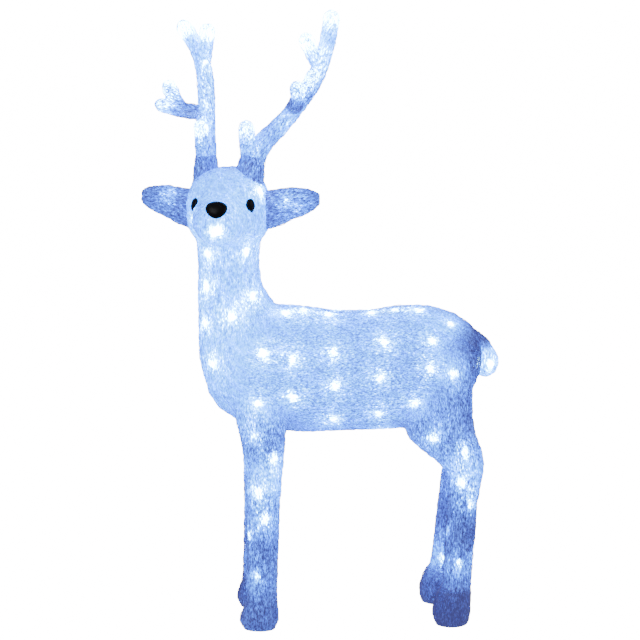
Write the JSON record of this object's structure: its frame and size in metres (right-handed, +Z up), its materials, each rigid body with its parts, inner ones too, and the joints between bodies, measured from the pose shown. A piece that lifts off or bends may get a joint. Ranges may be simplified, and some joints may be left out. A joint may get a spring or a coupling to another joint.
{
  "type": "light-up yard reindeer",
  "caption": "Standing light-up reindeer of fused clear thread over light strings, with its head turned to its left, flat hooves and plug-in antlers.",
  "frame": {"origin": "middle of the box, on the ground plane under the hooves", "axes": "+Z up, the body faces -X, its left side faces -Y; the head is turned to its left, towards -Y"},
  "size_m": [0.583, 0.2026, 1.0028],
  "materials": {
    "thread_shell": "fused clear thread, lit from inside, cool white spots on pale blue",
    "unlit_thread": "fused clear thread, unlit, dark blue",
    "black_plastic": "polished",
    "clear_plastic": "moulded, clear",
    "lamps": "lit cool white lamps on a thin clear wire",
    "white_rubber": "matte"
  },
  "bodies": {
    "reindeer": {"antler_socket_left": "clear_plastic", "antler_socket_right": "clear_plastic", "cord_gland": "white_rubber", "ear_left": "thread_shell", "ear_right": "thread_shell", "eye_left": "black_plastic", "eye_right": "black_plastic", "head_shell": "thread_shell", "hoof_front_left": "unlit_thread", "hoof_front_right": "unlit_thread", "hoof_hind_left": "unlit_thread", "hoof_hind_right": "unlit_thread", "leg_front_left": "thread_shell", "leg_front_right": "thread_shell", "leg_hind_left": "thread_shell", "leg_hind_right": "thread_shell", "lights_ear_left": "lamps", "lights_ear_right": "lamps", "lights_head": "lamps", "lights_leg_front_left": "lamps", "lights_leg_front_right": "lamps", "lights_leg_hind_left": "lamps", "lights_leg_hind_right": "lamps", "lights_neck": "lamps", "lights_tail": "lamps", "lights_torso_left": "lamps", "lights_torso_right": "lamps", "neck_shell": "thread_shell", "nose": "black_plastic", "tail_shell": "thread_shell", "torso_shell_left": "thread_shell", "torso_shell_right": "thread_shell"},
    "antler_left": {"antler_beam_left": "thread_shell", "antler_brow_tine_left": "thread_shell", "antler_mid_branch_left": "thread_shell", "antler_upper_tine_left": "thread_shell", "antler_collar_left": "unlit_thread", "antler_spigot_left": "clear_plastic", "lights_beam_left": "lamps", "lights_brow_tine_left": "lamps", "lights_mid_branch_left": "lamps", "lights_mid_branch_fork_left": "lamps", "lights_upper_tine_left": "lamps"},
    "antler_right": {"antler_beam_right": "thread_shell", "antler_brow_tine_right": "thread_shell", "antler_mid_branch_right": "thread_shell", "antler_upper_tine_right": "thread_shell", "antler_collar_right": "unlit_thread", "antler_spigot_right": "clear_plastic", "lights_beam_right": "lamps", "lights_brow_tine_right": "lamps", "lights_mid_branch_right": "lamps", "lights_mid_branch_fork_right": "lamps", "lights_upper_tine_right": "lamps"}
  },
  "joints": [
    {"name": "antler_left_lift", "type": "slide", "parent": "reindeer", "child": "antler_left", "axis": [0.2304, 0.0256, 0.9728], "range_m": [0, 0.045]},
    {"name": "antler_right_lift", "type": "slide", "parent": "reindeer", "child": "antler_right", "axis": [-0.0263, 0, 0.9997], "range_m": [0, 0.045]}
  ]
}
